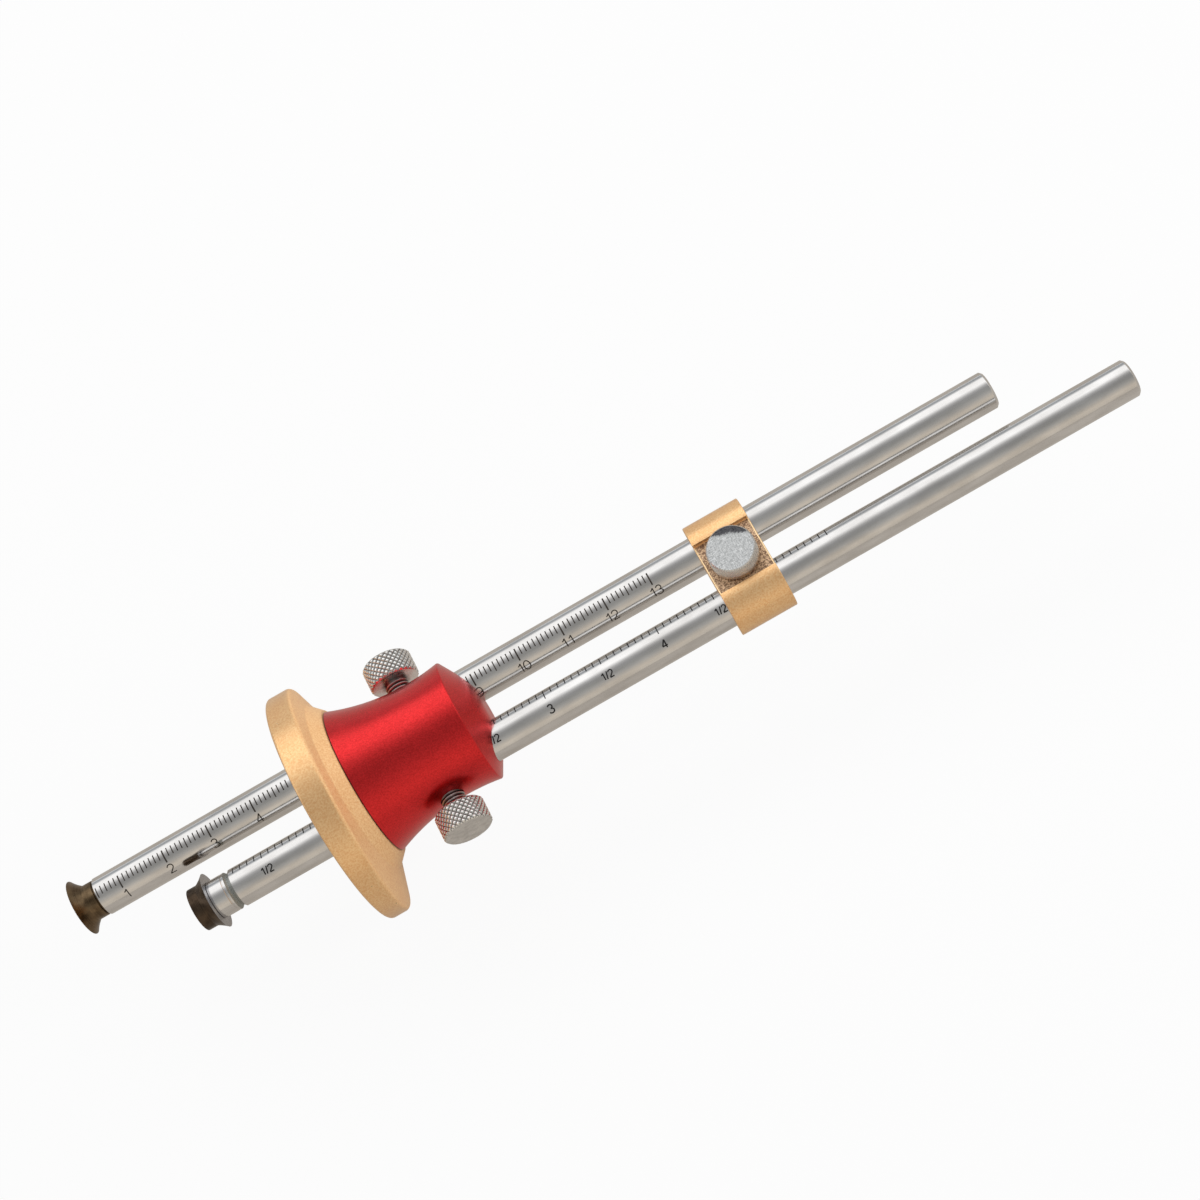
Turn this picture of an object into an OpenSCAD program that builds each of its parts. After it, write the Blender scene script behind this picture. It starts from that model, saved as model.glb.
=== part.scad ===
// Wheel marking gauge with two scaled rods.
// Origin: centre of the fence's working face, on the line midway between the rods.
// X runs along the rods towards their plain ends, Y points to the metric rod,
// and Z points to the side of the bridge that carries its thumb screw.

/* [Rods] */
// Diameter of both rods
rod_d = 8; // [7:0.1:8.4]
// Length of the metric rod
metric_rod_len = 203.3; // [190:0.1:260]
// Length of the inch rod
inch_rod_len = 202.5; // [190:0.5:260]
// Distance between the two rod axes
rod_spacing = 13; // [12.6:0.1:13.6]
// Chamfer round each rod end
rod_chamfer = 0.5; // [0.2:0.1:0.8]
// Radial clearance of a rod in the bores that it slides through
rod_clear = 0.05; // [0.02:0.01:0.1]
// Setting of the metric rod: from the fence face out to its cutting edge
metric_reach = 52.4; // [40:0.1:60]
// Setting of the inch rod: from the fence face out to its cutting edge
inch_reach = 27.4; // [20:0.1:32]

/* [Fence flange] */
// Diameter of the round fence
fence_d = 50; // [46:0.5:58]
// How far the fence's centre lies below the rods
fence_drop = 3.7; // [2:0.1:5]
// Depth of the flange from its working face to the body
fence_depth = 8.9; // [8.6:0.1:11]
// Thickness of the flange where its rim is thinnest
fence_rim = 3.1; // [2.4:0.1:3.6]
// Slope of the flange's back, in degrees
fence_slope = 19; // [15:0.5:21]
// Slope of the flare that runs from the flange's back up to the body, in degrees
flare_slope = 44; // [38:1:50]
// How far the flare's end stands out round the body
flare_lip = 0.4; // [0.2:0.1:0.8]
// Radius of the hollow between the flange's back and the flare
fence_hollow = 1; // [0.5:0.1:2]
// Rounding of the working face's edge
fence_edge = 0.6; // [0.3:0.1:1]

/* [Body] */
// Length of the body behind the flange
body_len = 28.4; // [26:0.1:34]
// Diameter at the body's waist
waist_d = 24.9; // [24.6:0.1:27]
// Distance from the fence face to the waist
waist_x = 25.5; // [24:0.1:26.5]
// Radius of the curve along the body's waisted side
waist_curve = 44; // [40:1:60]
// Length of the coned tail end
cone_len = 4.3; // [3:0.1:5]
// Diameter of the small flat at the tail end
tail_d = 11.4; // [9:0.1:15]

/* [Flange screws] */
// Thread diameter of the flange screws and of the cutter screws
small_thread_d = 3; // [2.6:0.1:3]
// Diameter of their countersunk heads
small_head_d = 5.8; // [5:0.1:6]
// Width across the flats of their hexagon sockets
small_socket = 2; // [1.5:0.1:2.2]
// Depth of their hexagon sockets
small_socket_depth = 1.1; // [0.8:0.1:1.3]
// Radial clearance of a screw in its hole
screw_clear = 0.1; // [0.05:0.01:0.15]
// Distance from the body's axis to each flange screw
flange_screw_r = 9.6; // [9.2:0.1:9.8]
// Length of each flange screw
flange_screw_len = 16; // [14:0.5:20]

/* [Lock screws] */
// Distance from the fence face to the lock screws
lock_x = 23.2; // [20:0.1:27]
// Thread diameter of the lock screws
lock_thread_d = 5; // [4.4:0.1:5.6]
// Thread pitch of the lock screws
lock_pitch = 0.8; // [0.7:0.05:1]
// Depth of the lock screws' thread
lock_thread_depth = 0.4; // [0.2:0.05:0.45]
// Length of a lock screw's threaded shank
lock_shank = 4.3; // [4:0.05:8]
// Diameter of a lock screw's knurled head
lock_head_d = 10.3; // [8:0.1:14]
// Height of a lock screw's knurled head
lock_head_h = 5.1; // [3:0.1:7]
// Diameter of the brass tip in the end of each lock screw
lock_tip_d = 3; // [2.2:0.1:3.2]
// Length of the brass tip
lock_tip_len = 2; // [1.6:0.1:3]
// How far the tip stands out of the screw
lock_tip_out = 0.4; // [0.2:0.05:0.8]
// Gap between the tip and the rod
lock_gap = 0.05; // [0.02:0.01:0.1]

/* [Cutters] */
// Diameter of the cutting rims
cutter_d = 11.8; // [10:0.1:12]
// Diameter of the metric cutter's hub
metric_hub_d = 7.6; // [7:0.1:8]
// Length of the metric cutter's hub
metric_hub_len = 2.1; // [1:0.1:3]
// Diameter of the inch cutter's hub
inch_hub_d = 9; // [8:0.1:9.4]
// Length of the inch cutter's hub
inch_hub_len = 2; // [1.4:0.1:3]
// Length of the bevel between each hub and its cutting rim
bevel_len = 2; // [1.6:0.1:3]
// Radius of the hollow grinding of the bevels
bevel_hollow = 9; // [5:0.5:14]
// Length of the steel collar between the inch cutter and its rod
spacer_len = 4.4; // [3:0.1:6]
// Depth of the V-groove between the collar and the rod
groove_depth = 0.6; // [0.3:0.1:0.9]
// Length of each cutter screw behind its cutter
cutter_screw_grip = 6; // [5:0.5:9]

/* [Bridge] */
// Distance from the fence face to the bridge
bridge_x = 88.1; // [60:0.1:120]
// Length of the bridge along the rods
bridge_len = 12.4; // [11:0.1:16]
// Wall of the bridge round each rod
bridge_wall = 2.2; // [1.6:0.05:3]
// Width of the sunk panels between the rods
panel_w = 12; // [10.6:0.1:12.6]
// Depth of the sunk panels
panel_depth = 1.2; // [0.4:0.1:1.4]
// Height of the slit that lets the bridge close on the rods
slit_h = 0.8; // [0.4:0.1:1.2]
// Diameter of the bridge screw's knurled head
bridge_head_d = 10; // [8:0.1:11]
// Height of the bridge screw's knurled head
bridge_head_h = 4.5; // [3:0.1:6]
// Thread diameter of the bridge screw
bridge_thread_d = 4; // [3:0.1:4.2]

/* [Small details] */
// Chamfer round the knurled heads
head_chamfer = 0.35; // [0.1:0.05:0.6]
// Radial gap round a threaded shank in its tapped hole
tap_clear = 0.05; // [0.02:0.01:0.1]
// Gap between a cutter's countersink and its screw's head
seat_gap = 0.05; // [0.03:0.01:0.1]

/* [Hidden] */
$fn = 96;

// Overrun of every cut past the face that it leaves through
over = 1;
hex_sides = 6;
// From a flat to the corner of a hexagon socket
hex_corner_share = 1 / cos(180 / hex_sides);

rod_y = rod_spacing / 2;
rod_r = rod_d / 2;
rod_bore_d = rod_d + 2 * rod_clear;

// Radius of the body at a distance x from the fence face
waist_centre_r = waist_d / 2 + waist_curve;
function body_r(x) = waist_centre_r - sqrt(pow(waist_curve, 2) - pow(x - waist_x, 2));
body_end = fence_depth + body_len;
cone_x = body_end - cone_len;
hub_r = body_r(fence_depth);

// The flange's back slopes in from the widest reach of its rim, then a steeper flare
// runs up to the body. The hollow between them is tangent to both.
reach_r = fence_d / 2 + fence_drop;
back_share = tan(fence_slope);
back_top = fence_rim + back_share * reach_r;
flare_share = tan(flare_slope);
flare_r = hub_r + flare_lip;
flare_top = fence_depth + flare_share * flare_r;
hollow_lift = fence_hollow / cos(flare_slope) - fence_hollow / cos(fence_slope);
hollow_r = (flare_top - back_top + hollow_lift) / (flare_share - back_share);
hollow_x = back_top + fence_hollow / cos(fence_slope) - back_share * hollow_r;

small_head_h = (small_head_d - small_thread_d) / 2;
metric_len = metric_hub_len + bevel_len;
inch_len = inch_hub_len + bevel_len;
metric_front = -metric_reach;
metric_rod_x = metric_front + metric_len;
inch_front = -inch_reach - inch_len;
inch_rod_x = -inch_reach + spacer_len;
tap_depth = cutter_screw_grip + over;

lock_tip_y = rod_y + rod_r + lock_gap;
lock_end_y = lock_tip_y + lock_tip_out;
lock_head_y = lock_end_y + lock_shank;
lock_turns = floor(lock_shank / lock_pitch) - 1;
lock_thread_r = lock_thread_d / 2;
// Half width of a thread groove at twice its depth, as a share of the pitch
groove_share = 7 / 8;
lock_tip_seat = lock_tip_len - lock_tip_out;

bridge_r = rod_r + bridge_wall;
web_z = bridge_r - panel_depth;
bridge_mid = bridge_x + bridge_len / 2;

// Turns a shape drawn about Z so that its axis runs along X
module along_x() {
    rotate([0, 90, 0]) children();
}

// Turns a shape drawn about Z so that its axis runs out along Y or -Y
module along_y(side) {
    rotate([-90 * side, 0, 0]) children();
}

// Fence: the trumpet turned about the body's axis, cut round off its centre
module fence_flange() {
    color([0.86, 0.67, 0.42]) difference() {
        intersection() {
            along_x() flange_trumpet();
            translate([0, 0, -fence_drop]) along_x() fence_round();
        }
        rod_bores(-over, fence_depth + 2 * over);
        for (side = [-1, 1])
            translate([0, 0, side * flange_screw_r]) along_x() countersink_cut(fence_depth);
    }
}

// Where the hollow meets a line of the given slope
function hollow_end(slope) =
    [hollow_r - fence_hollow * sin(slope), hollow_x - fence_hollow * cos(slope)];

module flange_trumpet() {
    rotate_extrude() difference() {
        polygon([[0, 0], [reach_r, 0], [reach_r, fence_rim],
            hollow_end(fence_slope), hollow_end(flare_slope),
            [flare_r, fence_depth], [0, fence_depth]]);
        translate([hollow_r, hollow_x]) circle(r = fence_hollow);
    }
}

// Round blank of the fence, its working edge rounded
module fence_round() {
    rotate_extrude() {
        square([fence_d / 2 - fence_edge, fence_depth]);
        translate([0, fence_edge]) square([fence_d / 2, fence_depth - fence_edge]);
        translate([fence_d / 2 - fence_edge, fence_edge]) circle(r = fence_edge);
    }
}

module rod_bores(start, len) {
    for (side = [-1, 1])
        translate([start, side * rod_y, 0]) along_x() cylinder(d = rod_bore_d, h = len);
}

// Hole for a countersunk screw, its head flush with the face at zero
module countersink_cut(depth) {
    translate([0, 0, -over]) cylinder(d = small_thread_d + 2 * screw_clear, h = depth + 2 * over);
    cylinder(d1 = small_head_d, d2 = small_thread_d, h = small_head_h);
}

// Countersunk screw, its head flush at zero and its shank running to len
module small_screw(len) {
    difference() {
        union() {
            cylinder(d1 = small_head_d, d2 = small_thread_d, h = small_head_h);
            cylinder(d = small_thread_d, h = len);
        }
        translate([0, 0, -over]) cylinder(d = small_socket * hex_corner_share,
            h = small_socket_depth + over, $fn = hex_sides);
    }
}

// Two countersunk screws that hold the flange on the body
module flange_screws() {
    color([0.32, 0.33, 0.35])
        for (side = [-1, 1])
            translate([0, 0, side * flange_screw_r]) along_x() small_screw(flange_screw_len);
}

// Body: waisted side, coned tail, rod bores, lock bores and tapped holes
module head_body() {
    color([0.76, 0.08, 0.1]) difference() {
        along_x() rotate_extrude() difference() {
            polygon([[0, fence_depth], [hub_r, fence_depth], [body_r(cone_x), cone_x],
                [tail_d / 2, body_end], [0, body_end]]);
            translate([waist_centre_r, waist_x]) circle(r = waist_curve, $fn = 360);
        }
        rod_bores(fence_depth - over, body_len + 2 * over);
        for (side = [-1, 1]) {
            translate([lock_x, side * rod_y, 0]) along_y(side)
                cylinder(r = lock_thread_r + tap_clear, h = hub_r);
            translate([fence_depth - over, 0, side * flange_screw_r]) along_x()
                cylinder(d = small_thread_d + 2 * tap_clear,
                    h = flange_screw_len - fence_depth + 2 * over);
        }
    }
}

// Plain rod with chamfered ends and a tapped hole in its cutter end
module rod(len, chamfer) {
    difference() {
        union() {
            cylinder(r1 = rod_r - chamfer, r2 = rod_r, h = chamfer);
            translate([0, 0, chamfer]) cylinder(r = rod_r, h = len - chamfer - rod_chamfer);
            translate([0, 0, len - rod_chamfer])
                cylinder(r1 = rod_r, r2 = rod_r - rod_chamfer, h = rod_chamfer);
        }
        translate([0, 0, -over]) cylinder(d = small_thread_d + 2 * tap_clear, h = tap_depth + over);
    }
}

module metric_rod() {
    color([0.75, 0.76, 0.77]) translate([metric_rod_x, rod_y, 0]) along_x()
        rod(metric_rod_len, rod_chamfer);
}

module inch_rod() {
    color([0.75, 0.76, 0.77]) translate([inch_rod_x, -rod_y, 0]) along_x()
        rod(inch_rod_len, groove_depth);
}

// Wheel cutter drawn rim first: a flat face, a hollow-ground bevel and a hub
module cutter(hub_d, hub_len) {
    rim_r = cutter_d / 2;
    hub = hub_d / 2;
    chord = norm([rim_r - hub, bevel_len]);
    sag_run = sqrt(pow(bevel_hollow, 2) - pow(chord / 2, 2));
    mid_r = (rim_r + hub) / 2 + sag_run * bevel_len / chord;
    mid_z = bevel_len / 2 + sag_run * (rim_r - hub) / chord;
    rotate_extrude() difference() {
        polygon([[0, 0], [rim_r, 0], [hub, bevel_len],
            [hub, bevel_len + hub_len], [0, bevel_len + hub_len]]);
        intersection() {
            square([rim_r, bevel_len]);
            translate([mid_r, mid_z]) circle(r = bevel_hollow);
        }
    }
}

// Countersink in a cutter, with a gap all round its screw's head
module cutter_seat(len) {
    translate([0, 0, -over]) cylinder(d = small_thread_d + 2 * screw_clear, h = len + 2 * over);
    translate([0, 0, -over])
        cylinder(d1 = small_head_d + 2 * (seat_gap + over), d2 = small_thread_d + 2 * seat_gap,
            h = small_head_h + over);
}

module metric_cutter() {
    color([0.36, 0.31, 0.25]) translate([metric_front, rod_y, 0]) along_x() difference() {
        cutter(metric_hub_d, metric_hub_len);
        cutter_seat(metric_len);
    }
}

module inch_cutter() {
    color([0.36, 0.31, 0.25]) translate([inch_front, -rod_y, 0]) along_x() difference() {
        translate([0, 0, inch_len]) mirror([0, 0, 1]) cutter(inch_hub_d, inch_hub_len);
        cutter_seat(inch_len);
    }
}

module metric_cutter_screw() {
    color([0.32, 0.33, 0.35]) translate([metric_front, rod_y, 0]) along_x()
        small_screw(metric_len + cutter_screw_grip);
}

module inch_cutter_screw() {
    color([0.32, 0.33, 0.35]) translate([inch_front, -rod_y, 0]) along_x()
        small_screw(inch_len + spacer_len + cutter_screw_grip);
}

// Steel collar behind the inch cutter, its far edge half of the V-groove
module inch_spacer() {
    color([0.75, 0.76, 0.77]) translate([-inch_reach, -rod_y, 0]) along_x() difference() {
        union() {
            cylinder(r = rod_r, h = spacer_len - groove_depth);
            translate([0, 0, spacer_len - groove_depth])
                cylinder(r1 = rod_r, r2 = rod_r - groove_depth, h = groove_depth);
        }
        translate([0, 0, -over])
            cylinder(d = small_thread_d + 2 * screw_clear, h = spacer_len + 2 * over);
    }
}

// V-grooves round a shank of radius r, one for each turn of the thread
module thread_grooves(r, turns) {
    for (turn = [1 : turns])
        translate([0, 0, turn * lock_pitch]) rotate_extrude()
            polygon([[r - lock_thread_depth, 0],
                [r + lock_thread_depth, -lock_pitch * groove_share],
                [r + lock_thread_depth, lock_pitch * groove_share]]);
}

// Knurled head from zero to h, both edges chamfered
module thumb_head(d, h) {
    rotate_extrude() polygon([[0, 0], [d / 2 - head_chamfer, 0], [d / 2, head_chamfer],
        [d / 2, h - head_chamfer], [d / 2 - head_chamfer, h], [0, h]]);
}

// Lock screw, from its inner end out to its head, bored for the brass tip
module lock_screw(side) {
    translate([lock_x, side * lock_end_y, 0]) along_y(side) difference() {
        union() {
            cylinder(r = lock_thread_r, h = lock_shank + head_chamfer);
            translate([0, 0, lock_shank]) thumb_head(lock_head_d, lock_head_h);
        }
        thread_grooves(lock_thread_r, lock_turns);
        translate([0, 0, -over])
            cylinder(d = lock_tip_d + 2 * tap_clear, h = lock_tip_seat + over);
    }
}

module lock_tip(side) {
    translate([lock_x, side * lock_tip_y, 0]) along_y(side)
        cylinder(d = lock_tip_d, h = lock_tip_len);
}

module metric_lock_screw() {
    color([0.78, 0.78, 0.77]) lock_screw(1);
}

module inch_lock_screw() {
    color([0.78, 0.78, 0.77]) lock_screw(-1);
}

module metric_lock_tip() {
    color([0.8, 0.65, 0.3]) lock_tip(1);
}

module inch_lock_tip() {
    color([0.8, 0.65, 0.3]) lock_tip(-1);
}

// Bridge: an oval block over both rods, sunk and slit between them
module bridge_clamp() {
    color([0.86, 0.67, 0.42]) difference() {
        translate([bridge_x, 0, 0]) union() {
            for (side = [-1, 1])
                translate([0, side * rod_y, 0]) along_x() cylinder(r = bridge_r, h = bridge_len);
            translate([0, -rod_y, -web_z]) cube([bridge_len, rod_spacing, 2 * web_z]);
        }
        for (side = [-1, 1])
            translate([bridge_x - over, -panel_w / 2, side > 0 ? web_z : -bridge_r - over])
                cube([bridge_len + 2 * over, panel_w, panel_depth + over]);
        rod_bores(bridge_x - over, bridge_len + 2 * over);
        translate([bridge_x - over, -rod_y, -slit_h / 2])
            cube([bridge_len + 2 * over, rod_spacing, slit_h]);
        translate([bridge_mid, 0, 0]) cylinder(d = bridge_thread_d + 2 * screw_clear, h = web_z + over);
        translate([bridge_mid, 0, -web_z - over])
            cylinder(d = bridge_thread_d + 2 * tap_clear, h = web_z + over);
    }
}

// Thumb screw of the bridge, its head seated on the sunk panel
module bridge_screw() {
    color([0.78, 0.78, 0.77]) translate([bridge_mid, 0, 0]) {
        translate([0, 0, -web_z]) cylinder(d = bridge_thread_d, h = 2 * web_z + head_chamfer);
        translate([0, 0, web_z]) thumb_head(bridge_head_d, bridge_head_h);
    }
}

fence_flange();
head_body();
flange_screws();
metric_rod();
inch_rod();
metric_cutter();
inch_cutter();
metric_cutter_screw();
inch_cutter_screw();
inch_spacer();
metric_lock_screw();
inch_lock_screw();
metric_lock_tip();
inch_lock_tip();
bridge_clamp();
bridge_screw();
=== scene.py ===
import math
import bmesh
import bpy
import numpy as np
from mathutils import Matrix, Vector


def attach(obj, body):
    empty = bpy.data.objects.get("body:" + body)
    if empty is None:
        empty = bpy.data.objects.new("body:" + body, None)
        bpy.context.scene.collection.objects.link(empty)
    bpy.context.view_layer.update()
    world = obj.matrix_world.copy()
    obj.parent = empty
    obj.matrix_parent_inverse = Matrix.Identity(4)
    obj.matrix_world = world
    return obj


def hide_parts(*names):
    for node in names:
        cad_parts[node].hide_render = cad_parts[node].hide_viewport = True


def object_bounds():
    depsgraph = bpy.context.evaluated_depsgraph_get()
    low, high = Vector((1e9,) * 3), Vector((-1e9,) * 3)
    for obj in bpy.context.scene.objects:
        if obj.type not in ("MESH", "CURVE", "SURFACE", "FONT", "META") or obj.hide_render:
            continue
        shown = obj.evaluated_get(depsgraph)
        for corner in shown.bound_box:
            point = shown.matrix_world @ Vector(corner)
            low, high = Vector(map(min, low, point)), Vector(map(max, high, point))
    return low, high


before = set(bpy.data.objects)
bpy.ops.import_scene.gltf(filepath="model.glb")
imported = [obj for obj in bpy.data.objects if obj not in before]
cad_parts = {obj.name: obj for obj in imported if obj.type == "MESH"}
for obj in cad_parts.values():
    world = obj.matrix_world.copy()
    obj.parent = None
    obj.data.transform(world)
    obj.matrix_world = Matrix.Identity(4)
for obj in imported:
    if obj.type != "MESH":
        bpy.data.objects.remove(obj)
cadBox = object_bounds()
mm = 0.001


# A profile with softened corners: each corner is (radius, along, softening). An arc that is
# tangent to both sides replaces a softened corner, with a point held close to each of its ends.
def softened(corners, steps, hold=0.04):
    corners = np.array([(*c, 0)[:3] for c in corners], float)
    points, last = [], len(corners) - 1
    for i, (spot, soft) in enumerate(zip(corners[:, :2], corners[:, 2])):
        if soft == 0 or i in (0, last):
            points.append(spot[None])
            continue
        before, after = corners[i - 1, :2] - spot, corners[i + 1, :2] - spot
        room = min(np.linalg.norm(before), np.linalg.norm(after)) / 2
        before, after = before / np.linalg.norm(before), after / np.linalg.norm(after)
        half = np.arccos(np.clip(before @ after, -1, 1)) / 2
        run = min(soft / np.tan(half), room * 0.9)
        centre = spot + (before + after) / np.linalg.norm(before + after) * run / np.cos(half)
        start, end = spot + before * run - centre, spot + after * run - centre
        turn, t = np.pi - 2 * half, np.linspace(0, 1, steps + 1)[:, None]
        arc = (np.sin((1 - t) * turn) * start + np.sin(t * turn) * end) / np.sin(turn) + centre
        ends = min(run + hold, room * 0.98)
        points += [spot + before * ends + 0 * t[:1], arc, spot + after * ends + 0 * t[:1]]
    return np.concatenate(points)


def columnAngles(columns):
    return np.arange(columns) / columns * 2 * np.pi


# Points round the third axis: a radius and a height for each row, an angle for each column
def revolved(radius, height, angle):
    return np.stack([radius * np.cos(angle), radius * np.sin(angle), height + 0 * angle], 2)


# A profile turned round an axis: point (i, j) is at radius r[i] and height h[i], at angle j
def turned(profile, columns):
    return revolved(profile[:, :1], profile[:, 1:2], columnAngles(columns))


# The same points with the axis laid along X, or out along Y on one side, or left along Z
def laid(points, axis, at, side=1):
    a, b, c = points[..., 0], points[..., 1], points[..., 2]
    order = {"x": (c, a, b), "y": (b * side, c * side, a), "z": (a, b, c)}[axis]
    return np.stack([values + place for values, place in zip(order, at)], -1)


# Faces of a grid that closes on itself across its columns. Rows of one repeated point become
# poles, a ring joins the last row to the first, and flat ends close the first and last rows
# with one face each. Faces are turned to point outwards. A pit value of painted shade may come
# for each point.
def gridMesh(name, grid, ring=False, flatEnds=False, pit=None):
    rows, columns = grid.shape[:2]
    index = np.arange(rows * columns).reshape(rows, columns)
    if not ring and not flatEnds:
        index[0], index[-1] = index[0, 0], index[-1, 0]
    lower, upper = (index, np.roll(index, -1, 0)) if ring else (index[:-1], index[1:])
    right, rightUp = np.roll(lower, -1, 1), np.roll(upper, -1, 1)
    quads = np.stack([lower, right, rightUp, upper], 2).reshape(-1, 4)
    points = grid.reshape(-1, 3)
    corner = points[quads]
    volume = np.einsum("ij,ij->i", corner[:, 0], np.cross(corner[:, 1], corner[:, 2]))
    volume += np.einsum("ij,ij->i", corner[:, 0], np.cross(corner[:, 2], corner[:, 3]))
    inward = volume.sum() < 0
    if inward:
        quads = quads[:, ::-1]
    used, faces = np.unique(quads, return_inverse=True)
    faces = faces.reshape(-1, 4)
    same = faces == np.roll(faces, 1, 1)
    whole = faces[~same.any(1)].tolist()
    fans = faces[same.sum(1) == 1]
    fans = fans[~(fans == np.roll(fans, 1, 1))].reshape(-1, 3).tolist()
    if flatEnds:
        fans = [(end[::-1] if inward else end).tolist() for end in (index[0][::-1], index[-1])]
    mesh = bpy.data.meshes.new(name)
    mesh.from_pydata((points[used] * mm).tolist(), [], whole + fans)
    mesh.update()
    if pit is not None:
        values = mesh.attributes.new("pit", "FLOAT", "POINT").data
        values.foreach_set("value", pit.ravel()[used].astype(np.float32))
    return mesh


def linked(name, data):
    made = bpy.data.objects.new(name, data)
    bpy.context.scene.collection.objects.link(made)
    return made


def addPiece(name, mesh, body, paint, replaces=()):
    piece = linked(name, mesh)
    mesh.materials.append(paint)
    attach(piece, body)
    for node in replaces:
        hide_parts(node)
    return piece


# Smooth shading with hard edges kept, flats weighing more than the narrow faces beside them
def shade(piece, angle=32):
    piece.data.shade_smooth()
    piece.data.set_sharp_from_angle(angle=math.radians(angle))
    weighted = piece.modifiers.new("weighted", "WEIGHTED_NORMAL")
    weighted.keep_sharp = True
    weighted.weight = 50
    applyAll(piece)


def applyAll(piece):
    bpy.context.view_layer.update()
    solid = piece.evaluated_get(bpy.context.evaluated_depsgraph_get())
    mesh = bpy.data.meshes.new_from_object(solid)
    piece.modifiers.clear()
    old, piece.data = piece.data, mesh
    mesh.name = piece.name
    bpy.data.meshes.remove(old)


# Takes the tools' shapes away from a piece, one group of tools after another
def cutAway(piece, groups):
    made = []
    for group in groups:
        joined = bmesh.new()
        for grid in group:
            joined.from_mesh(gridMesh("tool", grid))
        mesh = bpy.data.meshes.new("tool")
        joined.to_mesh(mesh)
        joined.free()
        tool = linked("tool", mesh)
        cut = piece.modifiers.new("cut", "BOOLEAN")
        cut.operation, cut.solver, cut.object = "DIFFERENCE", "EXACT", tool
        made.append(tool)
    applyAll(piece)
    for tool in made:
        bpy.data.objects.remove(tool)
    tidied = bmesh.new()
    tidied.from_mesh(piece.data)
    bmesh.ops.remove_doubles(tidied, verts=tidied.verts, dist=5e-7)  # half a micron
    bmesh.ops.dissolve_degenerate(tidied, edges=tidied.edges, dist=2e-7)
    tidied.to_mesh(piece.data)
    tidied.free()


# A plain round tool for a hole
def holeTool(radius, start, end, columns=64):
    return turned(np.array([(0, start), (radius, start), (radius, end), (0, end)], float), columns)


# A number or colour that comes out of a node, so that shader maths reads as plain sums
class Wire:
    def __init__(self, socket):
        self.socket = socket

    def maths(self, how, first, second):
        tree = self.socket.id_data
        node = tree.nodes.new("ShaderNodeMath")
        node.operation = how
        for place, value in zip(node.inputs, (first, second)):
            if isinstance(value, Wire):
                tree.links.new(value.socket, place)
            else:
                place.default_value = value
        return Wire(node.outputs[0])

    def __add__(self, other): return self.maths("ADD", self, other)
    def __radd__(self, other): return self.maths("ADD", other, self)
    def __sub__(self, other): return self.maths("SUBTRACT", self, other)
    def __rsub__(self, other): return self.maths("SUBTRACT", other, self)
    def __mul__(self, other): return self.maths("MULTIPLY", self, other)
    def __rmul__(self, other): return self.maths("MULTIPLY", other, self)
    def __truediv__(self, other): return self.maths("DIVIDE", self, other)
    def __abs__(self): return self.maths("ABSOLUTE", self, 0)
    def __gt__(self, other): return self.maths("GREATER_THAN", self, other)
    def __lt__(self, other): return self.maths("LESS_THAN", self, other)


# The nodes of a material or of the world, each made by one call
class Nodes:
    def __init__(self, tree):
        self.tree = tree

    def node(self, kind, settings=None, values=None, out=0):
        made = self.tree.nodes.new("ShaderNode" + kind)
        for key, value in (settings or {}).items():
            if key == "stops":
                ramp = made.color_ramp.elements
                while len(ramp) < len(value):
                    ramp.new(1)
                for stop, (spot, colour) in zip(ramp, value):
                    stop.position, stop.color = spot, colour
            else:
                setattr(made, key, value)
        for key, value in (values or {}).items():
            if isinstance(value, Wire):
                self.tree.links.new(value.socket, made.inputs[key])
            else:
                made.inputs[key].default_value = value
        return Wire(made.outputs[out])

    def axis(self, vector, which):
        return self.node("SeparateXYZ", {}, {0: vector}, out="XYZ".index(which))

    # A mix of two colours, each from a node or plain red, green and blue
    def mixed(self, factor, *colours):
        first, second = (c if isinstance(c, Wire) else (*c, 1.0) for c in colours)
        return self.node("Mix", {"data_type": "RGBA"}, {0: factor, 6: first, 7: second}, out=2)


# One material: its shader and the ways that its patterns are made
class Finish(Nodes):
    def __init__(self, name, **uniform):
        self.material = bpy.data.materials.new(name)
        self.material.use_nodes = True
        super().__init__(self.material.node_tree)
        self.shader = self.tree.nodes["Principled BSDF"]
        for socket, value in uniform.items():
            self.shader.inputs[socket.replace("_", " ")].default_value = value
        self.place = self.node("TexCoord", out="Object")

    # The place stretched or squeezed along each axis, counted from a centre in metres
    def stretched(self, scale, centre=(0, 0, 0)):
        moved = self.node("VectorMath", {"operation": "SUBTRACT"}, {0: self.place, 1: centre})
        return self.node("VectorMath", {"operation": "MULTIPLY"}, {0: moved, 1: scale})

    def length(self, vector):
        return self.node("VectorMath", {"operation": "LENGTH"}, {0: vector}, out="Value")

    def noise(self, scale, detail, place=None):
        return self.node("TexNoise", {}, {"Vector": place or self.place, "Scale": scale,
                                          "Detail": detail, "Roughness": 0.55})

    # 0 below the low value, 1 above the high one, straight between
    def between(self, value, low, high, least=0.0, most=1.0):
        return self.node("MapRange", {"clamp": True}, {
            "Value": value, "From Min": low, "From Max": high, "To Min": least, "To Max": most})

    # 0 before and 1 past a narrow edge, whose two sides are given in mm from a place in mm
    def edge(self, value, place, sides):
        return self.between(value, *((place + side) * mm for side in sides))

    def raised(self, height, depth, strength, under=None):
        values = {"Height": height, "Distance": depth, "Strength": strength}
        if under:
            values["Normal"] = under
        return self.node("Bump", {}, values)

    def feed(self, **links):
        for socket, wire in links.items():
            self.tree.links.new(wire.socket, self.shader.inputs[socket.replace("_", " ")])
        return self.material


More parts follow.
